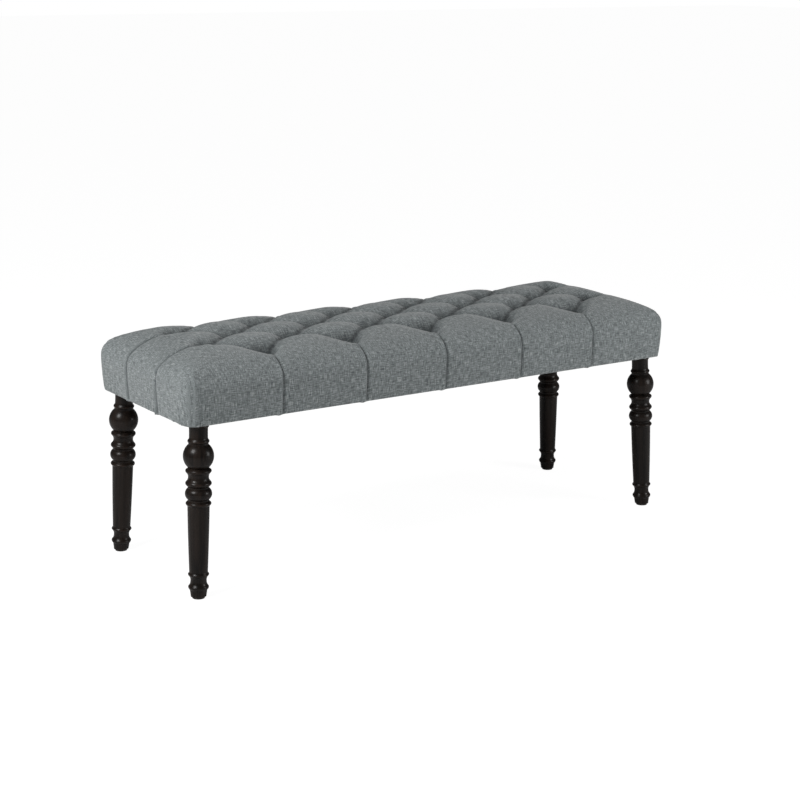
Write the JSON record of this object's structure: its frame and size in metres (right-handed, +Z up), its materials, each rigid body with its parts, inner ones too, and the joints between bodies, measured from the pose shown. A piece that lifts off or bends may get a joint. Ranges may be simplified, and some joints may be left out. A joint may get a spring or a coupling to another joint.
{
  "type": "upholstered bench",
  "caption": "Backless upholstered bench with a deep diamond-tufted seat on a hidden timber frame and splayed turned legs, for sitting at a bed's foot or in a hall.",
  "frame": {"origin": "on the floor under the middle of the seat, at the bottom centre of the bounding box", "axes": "+X along the bench's length, +Y from the front long side to the back long side, +Z up"},
  "size_m": [1.2192, 0.4064, 0.4953],
  "materials": {
    "upholstery": "matte woven linen",
    "foam": "open-cell foam",
    "dust_cloth": "thin non-woven cloth",
    "tie_tape": "woven tape",
    "frame_wood": "unfinished",
    "leg_wood": "dark satin stain",
    "fastener_steel": "zinc plated",
    "insert_steel": "zinc plated",
    "toggle_plastic": "matte",
    "glide_plastic": "matte"
  },
  "bodies": {
    "root": {"front_rail": "frame_wood", "back_rail": "frame_wood", "left_end_rail": "frame_wood", "right_end_rail": "frame_wood", "left_brace": "frame_wood", "right_brace": "frame_wood", "front_left_block": "frame_wood", "front_right_block": "frame_wood", "back_left_block": "frame_wood", "back_right_block": "frame_wood", "seat_deck": "frame_wood", "foam_pad": "foam", "seat_cover": "upholstery", "dust_cover": "dust_cloth", "tuft_buttons": "upholstery", "tuft_ties": "tie_tape", "tie_toggles": "toggle_plastic", "front_left_leg": "leg_wood", "front_right_leg": "leg_wood", "back_left_leg": "leg_wood", "back_right_leg": "leg_wood", "hanger_bolts": "fastener_steel", "leg_inserts": "insert_steel", "foot_glides": "glide_plastic"}
  },
  "joints": []
}
